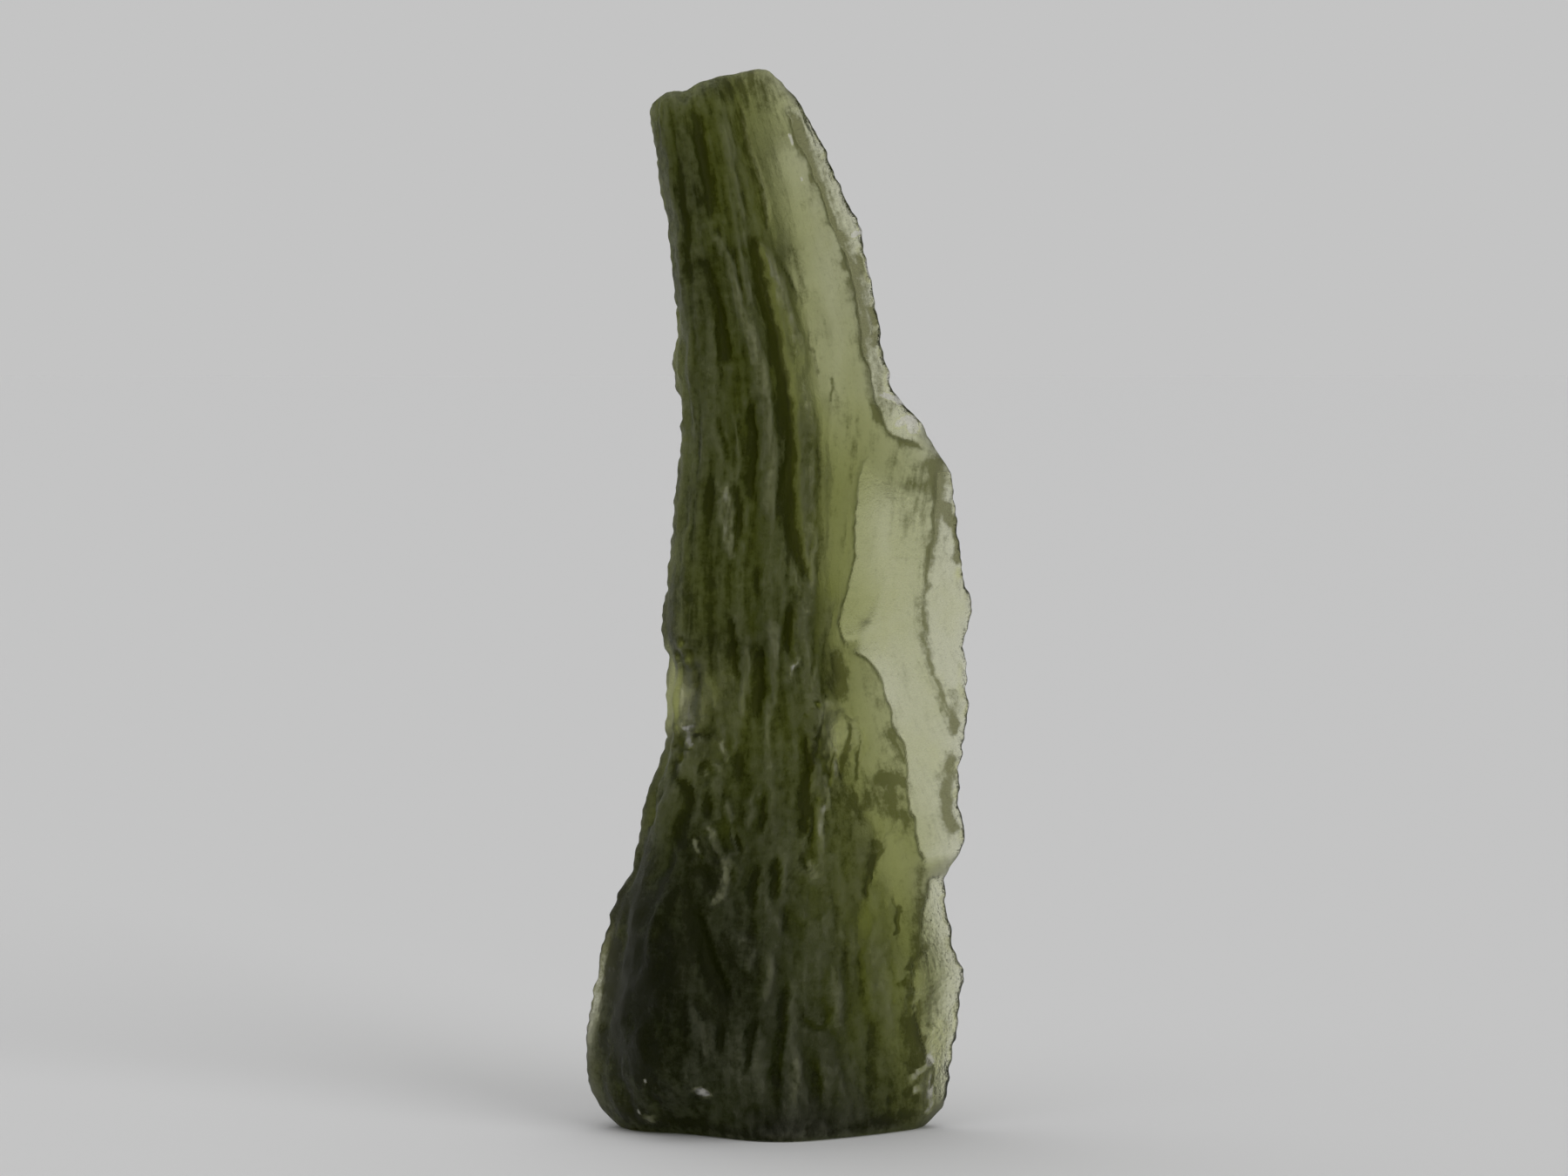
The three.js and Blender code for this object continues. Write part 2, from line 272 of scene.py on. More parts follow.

# Tones along a line: width, strength, path. Shades darken the skin, mostly as painted shade. Blooms add
# frosted haze and cover stain, and some are painted glints and highlights.
shadesAndStains = [
    # painted shade in dark bands down the blade's grooves and bevel, along its edges, round the foot and
    # along the flange
    (0.45, 0.55, [(0.7, 42.9), (2.3, 39.3), (3.5, 35.8), (4.2, 32.1), (4.6, 30.7)]),
    (0.25, 0.35, [(2.5, 38), (3.2, 35.2), (3.8, 31.8), (4.2, 30.4)]),
    (0.18, 0.8, [(4.1, 30.7), (4.5, 29.8), (5.3, 29.3), (6, 29.1)]),
    (0.25, 0.4, [(-1.5, 43.1), (-0.8, 40), (-0.6, 38.3)]),
    (0.3, 0.7, [(-0.1, 33.8), (0.4, 30.3), (0.5, 28.1), (0.4, 25.9), (0.6, 24.5)]),
    (0.3, 0.4, [(-5.2, 42.7), (-4.5, 38), (-4.2, 35.1)]),
    (0.35, 0.4, [(-4.2, 30.7), (-4.4, 27.4), (-4.6, 21.6)]),
    (0.4, 0.35, [(-4.9, 15.4), (-6.7, 11), (-7.2, 9.2)]),
    (0.28, 0.6, [(-7.3, 9), (-7.8, 6.6), (-8.2, 4.2)]),
    (0.35, 0.6, [(-6.7, 0.9), (-1.6, 0.3), (0.6, 0.2), (5.7, 0.8)]),
    (0.14, 0.7, [(0.3, 21.7), (0.3, 20.6)]),
    (0.3, 0.4, [(2.5, 20.3), (2.7, 18.6)]),
    (0.3, 0.7, rimLine),
    (0.2, 1.4, [(7.2, 26.5), (7.6, 24.3)]),
    (0.2, 0.5, [(7.5, 18.6), (7.7, 18.1), (7.5, 16.8)]),
    (0.35, 0.9, [(7.4, 15.7), (7.2, 14.3), (7.4, 12.8)]),
    # painted shade on the bevel's steep facet and on the notches of its edge
    (0.2, 0.6, [(0.7, 42.4), (1.5, 40.5), (2.4, 38.3), (2.9, 36.9), (3.5, 34.7), (3.7, 33.2)]),
    (0.2, 0.3, [(0.6, 43.1), (1.2, 41.3)]),
    (0.16, 1.2, [(3.4, 37), (3.4, 36.5)]),
    (0.14, 1.2, [(4, 34.8), (4, 34.4)]),
    (0.14, 1.2, [(4.2, 33.9), (4.3, 33.4)]),
    # painted shade inside the rim of the foot's right corner
    (0.3, 0.7, [(6.1, 11), (5.9, 7.3), (5.5, 5.9), (5.7, 4), (5.9, 2.6)]),
    (0.15, 0.8, [(6.3, 7.7), (5.6, 6.9)]),
    # brown lines among the crushed glass of the foot's right corner
    (0.25, 0.9, [(6, 5.3), (5.7, 4.4), (5.9, 3.9)]),
    (0.14, 0.9, [(6.2, 3.8), (6.1, 3.2), (6.3, 2.7)]),
    (0.12, 0.7, [(6.3, 4.4), (6.8, 4.3)]),
    (0.12, 0.7, [(6.3, 2.5), (6.7, 2.4), (6.5, 2)]),
    (0.25, 0.7, [(5.5, 1.8), (5.9, 1.4)]),
    # painted shade along the ledges and grooves round the scar below the scale
    (0.12, 0.8, [(2, 18.5), (1.7, 17.8), (1.5, 16.8), (1.4, 15.5)]),
    (0.14, 0.9, [(3, 17.3), (2.9, 16.4), (2.8, 15.4)]),
    (0.1, 0.7, [(2.3, 16.4), (2.2, 15.2)]),
    (0.1, 0.8, [(3.3, 16.9), (3.4, 16.1), (3.3, 15)]),
    (0.25, 0.8, [(4.3, 15.1), (5.3, 14.8)]),
    (0.3, 0.8, [(4.8, 17), (5.3, 15.8)]),
    (0.15, 0.9, [(4, 12.3), (4.5, 12), (4.1, 11.5)]),
    # on the scale
    (0.3, 0.35, [(3.6, 20), (3.7, 18.6)]),
    # dark streaks right of the main groove
    (0.25, 0.5, [(0.6, 37.3), (1, 36), (1.1, 35.2)]),
    (0.1, 0.5, [(1.3, 33.9), (1.6, 32.2)]),
    (0.09, 0.6, [(2.2, 31.9), (2.2, 31)]),
    # two cracks above the foot's right corner
    (0.12, 0.6, [(3.9, 11.3), (3.8, 10.1)]),
    (0.09, 1, [(5, 9.5), (5, 8.4)]),
]
hazeAndGlints = [
    # on the scale
    (0.3, 0.3, [(3.3, 19.6), (3.4, 18.6)]),
    # pale streaks beside the main groove and further down, some of them painted highlights along ridges
    (0.3, 0.8, [(-0.5, 37.3), (0.4, 34.7), (0.9, 33.2)]),
    (0.3, 0.3, [(-1.6, 35.4), (-0.8, 32.9), (-0.6, 31.4)]),
    (0.16, 0.5, [(1.2, 31.8), (1.4, 28.9), (1.3, 22.3)]),
    (0.2, 0.8, [(-2.2, 27.4), (-2, 24.5)]),
    (0.08, 1.2, [(0.9, 20.5), (0.4, 19.4)]),
    (0.45, 0.9, [(-4.1, 19.4), (-3.8, 17.5)]),
    # chips of the left side, with painted glints on them
    (0.09, 2.5, [(-4, 17.2), (-3.4, 17.4)]),
    (0.09, 2, [(-3.8, 17.2), (-3.6, 16.5)]),
    (0.14, 1.1, [(-2.4, 16.7), (-2.2, 16)]),
    (0.15, 1, [(-3, 15.4), (-2.8, 15.1)]),
    (0.2, 0.8, [(-2.9, 13), (-2.4, 11.9)]),
    (0.1, 0.7, [(-3.4, 12.6), (-3.4, 11.9)]),
    (0.1, 0.5, [(-1.9, 13), (-1.9, 12.1)]),
    (0.25, 0.9, [(-2.1, 11.7), (-2.2, 10.9), (-2.5, 10.1)]),
    # the scar below the scale, and the flakes under it
    (0.45, 0.9, [(2.1, 18.2), (2.3, 17.5), (2.4, 16.6)]),
    (0.3, 0.3, [(3.1, 17.9), (3.5, 17), (3.9, 15.7)]),
    (0.1, 1, [(2.5, 16.2), (2.5, 15.2)]),
    (0.14, 1.2, [(2, 14.6), (2.1, 14.1), (1.8, 13.3), (1.6, 12.7)]),
    (0.15, 0.8, [(1.4, 11.5), (1.7, 11)]),
    (0.3, 0.3, [(4.4, 7.3), (4.7, 5.9), (4.6, 4.6)]),
    # small crushed spots
    (0.22, 5, [(-3.4, 2.2), (-3.2, 2.1)]),
    (0.07, 9, [(-5.6, 2.6), (-5.6, 2.5)]),
    (0.07, 9, [(-5.9, 1.1), (-5.9, 1)]),
    (0.25, 1.2, [(-5.6, 0.9), (-5.3, 0.8)]),
    (0.16, 1.6, [(5.6, 2.2), (5.9, 2.5), (6.3, 2.7)]),
    (0.2, 1.6, [(5.8, 1.8), (6.1, 2)]),
    (0.16, 2, [(6.5, 3.7), (6.6, 2.8)]),
    (0.4, 1.2, [(6.9, 4.3), (6.9, 3.3), (6.7, 2.5)]),
    (0.22, 2, [(6.5, 1.8), (6.4, 0.9)]),
    (0.2, 1.2, [(5.9, 5.9), (5.7, 5.1)]),
    # painted glints along the bevel's edge and at its lower end
    (0.1, 6, [(0.5, 42.2), (0.6, 41.9)]),
    (0.07, 7, [(0.9, 40.4), (0.9, 40.3)]),
    (0.12, 6, [(3, 38), (3.2, 38.1)]),
    (0.2, 5, [(4.6, 31.2), (5, 31), (5.1, 31.2)]),
    (0.2, 4, [(5.1, 30.1), (5.5, 30.3), (5.7, 29.8)]),
]


def linear(hexColour):
    # an sRGB hex colour as the linear one that a socket takes
    values = []
    for start in (1, 3, 5):
        share = int(hexColour[start:start + 2], 16) / 255
        values.append(share / 12.92 if share <= 0.04045 else ((share + 0.055) / 1.055) ** 2.4)
    return (*values, 1.0)


def addNode(tree, kind, settings=None, links=None):
    # one node, its settings by socket or property name, and its links as {socket: output}
    node = tree.nodes.new(kind)
    for name, value in (settings or {}).items():
        if isinstance(name, int) or name in node.inputs:
            node.inputs[name].default_value = value
        else:
            setattr(node, name, value)
    for name, output in (links or {}).items():
        tree.links.new(output, node.inputs[name])
    return node


def addRange(tree, value, source, target=(0, 1), **settings):
    # a node that maps a value from one pair of bounds to another
    bounds = {"From Min": source[0], "From Max": source[1], "To Min": target[0], "To Max": target[1]}
    return addNode(tree, "ShaderNodeMapRange", {**bounds, **settings}, {0: value})


def smoothStep(low, high, value):
    t = np.clip((value - low) / (high - low), 0, 1)
    return t * t * (3 - 2 * t)


def patchAt(x, z, centre, radii):
    # a soft round patch on a face, 1 at its centre
    return np.exp(-((x - centre[0]) / radii[0]) ** 2 - ((z - centre[1]) / radii[1]) ** 2)


def softLimit(cut, allowed):
    # a cut that comes near what is allowed and never passes it, with raised places left alone
    limited = allowed * np.tanh(cut / np.maximum(allowed, stone["leastAllowed"]))
    return np.where(cut > 0, limited, cut)


def smoothPath(points):
    # a Catmull-Rom curve through the stroke's points, at an even fine spacing
    spots = [np.array(point, float) for point in points]
    spots = [2 * spots[0] - spots[1], *spots, 2 * spots[-1] - spots[-2]]
    curve = []
    for a, b, c, d in zip(spots, spots[1:], spots[2:], spots[3:]):
        steps = max(2, int(np.linalg.norm(c - b) / stone["strokeStep"]))
        for t in np.arange(steps) / steps:
            curve.append(0.5 * (2 * b + (c - a) * t + (2 * a - 5 * b + 4 * c - d) * t**2
                                + (3 * b - a - 3 * c + d) * t**3))
    return np.array([*curve, spots[-2]])


def besidePath(x, z, curve):
    # distance from the curve, positive on the right of someone who follows it down, share along it, length
    start = curve[:-1]
    step = np.diff(curve, axis=0)
    length = np.maximum(np.linalg.norm(step, axis=1), tiny)
    offsetX = x[:, None] - start[None, :, 0]
    offsetZ = z[:, None] - start[None, :, 1]
    t = np.clip((offsetX * step[:, 0] + offsetZ * step[:, 1]) / length**2, 0, 1)
    gap = np.hypot(offsetX - t * step[:, 0], offsetZ - t * step[:, 1])
    nearest = gap.argmin(axis=1)
    rows = np.arange(len(x))
    hand = np.sign(step[nearest, 0] * offsetZ[rows, nearest] - step[nearest, 1] * offsetX[rows, nearest])
    along = np.concatenate([[0], np.cumsum(length)])
    share = (along[nearest] + t[rows, nearest] * length[nearest]) / along[-1]
    return hand * gap[rows, nearest], share, along[-1]


def strokeCut(x, z, kind, width, depth, path, reach=0, fades=stone["strokeFades"]):
    # how deep one stroke cuts at each point, in mm, and how near the point is to its line, 0 to 1
    curve = smoothPath(path)
    margin = stone["strokeSpread"] * width + stone["ledgeSpread"] * abs(reach)
    low = curve.min(axis=0) - margin
    high = curve.max(axis=0) + margin
    near = (x > low[0]) & (x < high[0]) & (z > low[1]) & (z < high[1])
    cut = np.zeros(len(x))
    line = np.zeros(len(x))
    if not near.any():
        return cut, line
    gap, share, length = besidePath(x[near], z[near], curve)
    kept = np.ones(len(gap))
    for fade, fromEnd in zip(fades, (share, 1 - share)):
        if fade:
            kept *= smoothStep(0, min(0.5, fade / length), fromEnd)
    profile = np.exp(-(gap / width / np.where(gap > 0, stone["steepSide"], stone["gentleSide"])) ** 2)
    line[near] = profile * kept
    if kind == "ledge":
        beyond = gap * np.sign(reach)
        profile = smoothStep(-width / 2, width / 2, beyond) * np.exp(-np.maximum(beyond, 0) / abs(reach))
    cut[near] = (-depth if kind == "rib" else depth) * profile * kept
    return cut, line


def copyBlade():
    # the CAD triangles, merged and joined into squares, with the foot's rim marked to stay firm
    shape = bmesh.new()
    shape.from_mesh(bpy.data.objects[stone["node"]].data)
    bmesh.ops.remove_doubles(shape, verts=shape.verts, dist=stone["weldWithin"] * mm)
    bmesh.ops.join_triangles(shape, faces=shape.faces, angle_face_threshold=math.pi,
                             angle_shape_threshold=math.pi)
    crease = shape.edges.layers.float.new("crease_edge")
    for edge in shape.edges:
        underneath = any(face.normal.z < stone["undersideBelow"] for face in edge.link_faces)
        if underneath and edge.calc_face_angle(0) > stone["rimAngle"]:
            edge[crease] = stone["rimCrease"]
    mesh = bpy.data.meshes.new("moldaviteGlass")
    shape.to_mesh(mesh)
    shape.free()
    piece = bpy.data.objects.new("moldaviteGlass", mesh)
    bpy.context.collection.objects.link(piece)
    return piece


def smoothBlade(piece):
    subdivision = piece.modifiers.new("smoothing", "SUBSURF")
    subdivision.levels = stone["smoothing"]
    bpy.context.view_layer.update()
    evaluated = piece.evaluated_get(bpy.context.evaluated_depsgraph_get())
    smoothed = bpy.data.meshes.new_from_object(evaluated)
    piece.modifiers.clear()
    piece.data = smoothed


def refineFaces(mesh, chosen):
    # split the faces whose corners are all chosen
    shape = bmesh.new()
    shape.from_mesh(mesh)
    faces = [face for face in shape.faces if all(chosen[corner.index] for corner in face.verts)]
    edges = list({edge for face in faces for edge in face.edges})
    bmesh.ops.subdivide_edges(shape, edges=edges, cuts=1, use_grid_fill=True)
    shape.to_mesh(mesh)
    shape.free()


def readPoints(mesh):
    points = np.empty(len(mesh.vertices) * 3)
    mesh.vertices.foreach_get("co", points)
    return points.reshape(-1, 3) / mm


def readNormals(mesh):
    normals = np.empty(len(mesh.vertices) * 3)
    mesh.vertex_normals.foreach_get("vector", normals)
    return normals.reshape(-1, 3)


def writePoints(mesh, points):
    mesh.vertices.foreach_set("co", (points * mm).ravel())
    mesh.update()


def fieldNoise(points, sizes, seed):
    # smooth noise about -1 to 1, with features about as long as sizes, in mm along X, Y and Z
    scaled = points / np.array(sizes) + seed * stone["seedShift"]
    return np.array([noise.noise(Vector(spot)) for spot in scaled])


def measureThickness(piece, points, facing):
    # mm of glass behind each point, straight through the blade
    tree = BVHTree.FromObject(piece, bpy.context.evaluated_depsgraph_get())
    through = np.zeros(len(points))
    for i, (x, y, z) in enumerate(points):
        way = 1 if facing[i] > 0 else -1
        start = Vector((x, y + way * stone["justInside"], z)) * mm
        distance = tree.ray_cast(start, Vector((0, way, 0)))[3]
        through[i] = distance / mm if distance else 0
    return through


def neighbourMean(mesh, points, rounds):
    # each point's place once the mesh around it is smoothed
    edges = np.empty(len(mesh.edges) * 2, int)
    mesh.edges.foreach_get("vertices", edges)
    edges = edges.reshape(-1, 2)
    count = np.bincount(edges.ravel(), minlength=len(points))[:, None]
    mean = points
    for _ in range(rounds):
        total = np.zeros_like(mean)
        np.add.at(total, edges[:, 0], mean[edges[:, 1]])
        np.add.at(total, edges[:, 1], mean[edges[:, 0]])
        mean = total / count
    return mean


piece = copyBlade()
smoothBlade(piece)
mesh = piece.data

# Where the mesh gets more points: along the deep ledges and under the narrow tones. A band is its width, and
# how near its line a point has to be, 0 to 1.
finer = {
    "ledgesFrom": 0.5,  # mm deep
    "ledgeBand": (0.3, 0.3),
    "tonesUnder": 0.15,  # mm wide
    "toneBand": (0.35, 0.2),
    "facing": 0.1,  # how squarely the skin there faces front, 0 to 1
}


def alongLine(path, band, fades):
    # which points of the fluted face lie in the band along a line
    width, nearness = band
    line = strokeCut(points[:, 0], points[:, 2], "groove", width, 1, path, fades=fades)[1]
    return (line > nearness) & (facing > finer["facing"])


points = readPoints(mesh)
facing = -readNormals(mesh)[:, 1]
chosen = np.zeros(len(points), bool)
for kind, _, depth, path, *_ in frontStrokes:
    if kind == "ledge" and depth >= finer["ledgesFrom"]:
        chosen |= alongLine(path, finer["ledgeBand"], stone["strokeFades"])
for width, _, path in shadesAndStains + hazeAndGlints:
    if width < finer["tonesUnder"]:
        chosen |= alongLine(path, finer["toneBand"], stone["toneFades"])
refineFaces(mesh, chosen)
print("blade smoothed to", len(mesh.polygons), "faces")

points = readPoints(mesh)
normals = readNormals(mesh)
x, y, z = points.T.copy()
facing = -normals[:, 1]
frontShare = smoothStep(*stone["faceTurn"], facing)
backShare = smoothStep(*stone["faceTurn"], -facing)
through = measureThickness(piece, points, facing)
solid = smoothStep(*stone["thinToSolid"], through)
print("thickest glass", round(float(through.max()), 1), "mm")

# the flow of the glass, between a left and a right bound at each level
flow = {
    "level": [0, 5, 10, 14, 17, 21.3, 24, 29, 30.5, 34.3, 40, 44.5],
    "left": [-6.9, -8.1, -7.3, -6.2, -5.3, -4.9, -4.8, -4.5, -4.4, -4.5, -5, -5.4],
    "right": [7, 6.9, 6.3, 5.4, 4.2, 3, 3.1, 3.8, 3.9, 3.3, 1.7, 0.1],
    "span": 10,  # mm that the share between them is stretched to, so that streaks keep a real width
}
flowLeft = np.interp(z, flow["level"], flow["left"])
flowRight = np.interp(z, flow["level"], flow["right"])
alongFlow = np.c_[(x - flowLeft) / (flowRight - flowLeft) * flow["span"], y, z]

# noise fields from broad to fine: where they are read, the mm that a feature takes, and a seed
clouds = fieldNoise(alongFlow, (1.6, 2, 3.2), 12)
swells = fieldNoise(alongFlow, (1.1, 1.1, 8), 1)
wobble = fieldNoise(points, (0.9, 0.9, 1.3), 3)
lumps = fieldNoise(alongFlow, (0.8, 0.8, 1.6), 8)
streaks = fieldNoise(alongFlow, (0.42, 0.6, 5), 2)
crumbs = fieldNoise(points, (0.4, 0.4, 0.7), 9)
raggedness = fieldNoise(points, (0.35, 0.35, 0.5), 6)
pits = fieldNoise(points, (0.3, 0.3, 0.45), 5)
fibres = fieldNoise(alongFlow, (0.2, 0.35, 2.2), 4)
broadStray, fineStray = stone["straying"]
straying = broadStray * wobble + fineStray * raggedness
print("noise fields ready")

# how the strokes of the fluted face mark its skin
marking = {
    "fullDepth": 0.35,  # mm, a stroke this deep shows at full tone
    "crest": (0.15, 0.8),  # nearness to a rib's line over which its frosted crest comes in
    "freshLedge": 1.4,  # mm, a ledge that reaches further than this is a fresh break
    "freshFrom": (0.02, 0.2),  # share of the ledge's depth over which the break comes in
}
frontCut, fresh, grooved, ridged, creased = np.zeros((5, len(points)))
for kind, width, depth, path, *ending in frontStrokes:
    cut, line = strokeCut(x + straying, z, kind, width, depth, path, *ending)
    frontCut += cut
    strength = min(1, depth / marking["fullDepth"])
    if kind == "rib":
        ridged = np.maximum(ridged, smoothStep(*marking["crest"], line) * strength)
    elif kind == "groove":
        grooved = np.maximum(grooved, line * strength)
    elif kind == "ledge":
        creased = np.maximum(creased, line * strength)
        if abs(ending[0]) > marking["freshLedge"]:
            fresh = np.maximum(fresh, smoothStep(*marking["freshFrom"], cut / depth))

scar = {
    "facing": 0.1,  # how squarely the skin faces front where a scar may lie
    "ragged": 0.9,  # how much each of two noises moves its edge, as a share of its size
    "raggedWithin": (0.3, 2),
    "bowl": 0.6,  # share of its depth that is a round bowl
    "lean": 0.2,  # and the share that leans one way
    "rimFrom": 0.8,  # where its edge starts to fade, with 1 at the edge
    "freshness": 0.5,  # how fresh a scar shows, 0 to 1
    "freshDepth": 0.08,  # mm cut where it shows in full
}
rng = random.Random(stone["seed"])
for centre, radii, depth in frontScars:
    offsetX = (x - centre[0]) / radii[0]
    offsetZ = (z - centre[1]) / radii[1]
    ragged = 1 + scar["ragged"] * wobble + scar["ragged"] * raggedness
    rim = (offsetX**2 + offsetZ**2) * np.clip(ragged, *scar["raggedWithin"])
    inside = (rim < 1) & (facing > scar["facing"])
    surface = y[inside] + frontCut[inside]
    plane = np.c_[x[inside], z[inside], np.ones(inside.sum())]
    level = plane @ np.linalg.lstsq(plane, surface, rcond=None)[0]
    lean = rng.uniform(0, 2 * math.pi)
    tilt = offsetX[inside] * math.cos(lean) + offsetZ[inside] * math.sin(lean)
    bowl = level + depth * (scar["bowl"] * (1 - rim[inside]) + scar["lean"] * tilt)
    deeper = np.clip(bowl - surface, 0, depth) * smoothStep(1, scar["rimFrom"], rim[inside])
    frontCut[inside] += deeper
    broken = scar["freshness"] * smoothStep(0, scar["freshDepth"], deeper)
    fresh[inside] = np.maximum(fresh[inside], broken)
frontAllowed = np.maximum(stone["frontLimit"] * through - stone["leastThickness"] / 2, 0)
points[:, 1] += softLimit(frontCut, frontAllowed) * frontShare
print("fluted face cut with", len(frontStrokes), "strokes and", len(frontScars), "scars")

# strokes of the back and of the thick left side, each drawn from these ranges
back = {
    "strokes": 80,
    "kinds": ["groove", "groove", "rib", "ledge"],
    "top": (4, 43),
    "length": (3, 11),
    "lowest": 0.5,
    "start": (0.08, 0.92),  # share of the way across the back
    "wander": 0.15,
    "width": (0.18, 0.5),
    "depthPerWidth": (0.5, 1.1),
    "level": [0, 4, 15, 30, 38, 44],  # with the middle and the width of the blade there
    "middle": [-0.3, -0.2, 1.1, 1, -0.7, -2.4],
    "bladeWidth": [13.5, 15, 12.5, 10, 8, 5.5],
    "limit": (0.3, 0.1),  # share of the glass that the strokes may take, less so many mm
}
side = {
    "strokes": 26,
    "kinds": ["groove", "groove", "rib"],
    "top": (6, 43),
    "length": (3, 9),
    "lowest": 1,
    "start": (-3, 3),  # through the thickness
    "wander": 0.25,
    "width": (0.22, 0.5),
    "depthPerWidth": (0.4, 0.7),
    "turn": (0.45, 0.85),  # how squarely the skin faces left where the strokes come in
    "thickAbove": 13,  # height where the left side turns thick
    "thinShare": 0.4,  # of a stroke's depth, on the thinner glass below
}
drawn = {"pathPoints": 4, "ledgeWidth": 0.12, "ledgeReach": (0.6, 1.4)}  # the same on both


def acrossBack(start, levels):
    # where a stroke runs at each level
    middles = np.interp(levels, back["level"], back["middle"])
    return middles + (start - 0.5) * np.interp(levels, back["level"], back["bladeWidth"])


def acrossSide(start, levels):
    return np.full(len(levels), start)


def layStrokes(face, across, runsAt):
    # seeded strokes over a face whose points are across and z
    total = np.zeros(len(points))
    for _ in range(face["strokes"]):
        top = rng.uniform(*face["top"])
        bottom = max(face["lowest"], top - rng.uniform(*face["length"]))
        start = rng.uniform(*face["start"])
        levels = np.linspace(top, bottom, drawn["pathPoints"])
        path = [(spot + rng.uniform(-face["wander"], face["wander"]), level)
                for spot, level in zip(runsAt(start, levels), levels)]
        width = rng.uniform(*face["width"])
        depth = width * rng.uniform(*face["depthPerWidth"])
        kind = rng.choice(face["kinds"])
        reach = rng.choice([-1, 1]) * rng.uniform(*drawn["ledgeReach"])
        if kind == "ledge":
            width = drawn["ledgeWidth"]
        total += strokeCut(across, z, kind, width, depth, path, reach)[0]
    return total


backCut = layStrokes(back, x + straying, acrossBack)
limitShare, limitLess = back["limit"]
backCut = softLimit(backCut, np.maximum(limitShare * through - limitLess, 0)) * solid
hollowed = np.zeros(len(points))
for centre, radii, share in backHollows:
    hollowed = np.maximum(hollowed, share * patchAt(x, z, centre, radii))
points[:, 1] -= (backCut + hollowed * through) * backShare
sideCut = layStrokes(side, y + straying, acrossSide)
thickSide = np.where(z > side["thickAbove"], 1, side["thinShare"] + (1 - side["thinShare"]) * solid)
points[:, 0] += sideCut * smoothStep(*side["turn"], -normals[:, 0]) * thickSide
print("back and thick side cut")

# the etched skin all over, lumpier toward the foot and calmer on fresh breaks and thin glass
etching = {
    "swells": 0.14,  # height of each layer of the relief, from broad to fine
    "streaks": 0.08,
    "lumps": 0.05,
    "fibres": 0.05,
    "pits": 0.04,
    "lumpyFrom": (19, 11),  # heights over which the skin turns lumpy
    "lumpier": 1.2,
    "lessStreaked": 0.4,
    "freshLess": 0.7,  # share of the relief that a fresh break lacks
    "thinShare": 0.25,  # share that thin glass has
    "footFade": (0.15, 0.8),  # heights over which it comes in, so that the foot stays flat
    "roughFoot": ((-6.8, 6), (2.6, 5.5)),  # where the skin is roughest: centre, radii
    "rougherBy": 1.1,
    "edgeShare": 0.5,  # share that the narrow right side keeps, though its glass is thin
    "edgeTurn": (0.4, 0.8),  # how squarely that side faces right
    "edgeFade": (0.3, 1),  # heights over which it comes in there
}
low = smoothStep(*etching["lumpyFrom"], z)
relief = (etching["swells"] * swells + etching["streaks"] * (1 - etching["lessStreaked"] * low) * streaks
          + etching["lumps"] * (1 + etching["lumpier"] * low) * lumps + etching["fibres"] * fibres
          + etching["pits"] * pits)
calm = ((1 - etching["freshLess"] * fresh) * smoothStep(*etching["footFade"], z)
        * (etching["thinShare"] + (1 - etching["thinShare"]) * solid))
calm *= 1 + etching["rougherBy"] * patchAt(x, z, *etching["roughFoot"])
calm = np.maximum(calm, etching["edgeShare"] * smoothStep(*etching["edgeTurn"], normals[:, 0])
                  * smoothStep(*etching["edgeFade"], z))
writePoints(mesh, points)
points += readNormals(mesh) * (relief * calm)[:, None]

# both side edges are nibbled into small scallops: height, mm that a scallop takes, and a seed
nibbles = {
    "fine": (0.1, (1, 0.35, 0.5), 20),
    "broad": (0.12, (1, 0.8, 0.9), 30),
    "mean": 0.05,
    "depth": 0.45,  # mm in from the edge over which they die out
    "footFade": (0.3, 1),
    "levelStep": 0.3,  # mm between the levels where the edge is found
    "topLevel": 45.2,
    "unfound": -99.0,  # the edge of a level without points
}
levels = np.arange(0, nibbles["topLevel"], nibbles["levelStep"])
slots = np.clip((z / nibbles["levelStep"]).astype(int), 0, len(levels) - 1)
edgePoints = np.c_[np.zeros(len(points)), z, points[:, 1]]


def fromEdge(way):
    # how far in from the right edge (way 1) or the left one (way -1) each point lies
    edgeX = np.full(len(levels), nibbles["unfound"])
    np.maximum.at(edgeX, slots, way * points[:, 0])
    return np.maximum(np.interp(z, levels + nibbles["levelStep"] / 2, edgeX) - way * points[:, 0], 0)


for way in (-1, 1):
    scallops = sum(height * fieldNoise(edgePoints, sizes, seed + way)
                   for height, sizes, seed in (nibbles["fine"], nibbles["broad"]))
    points[:, 0] += (way * (scallops + nibbles["mean"]) * np.exp(-fromEdge(way) / nibbles["depth"])
                     * smoothStep(*nibbles["footFade"], z))
points[:, 2] = np.maximum(points[:, 2], 0)
writePoints(mesh, points)
print("skin etched and edges nibbled")
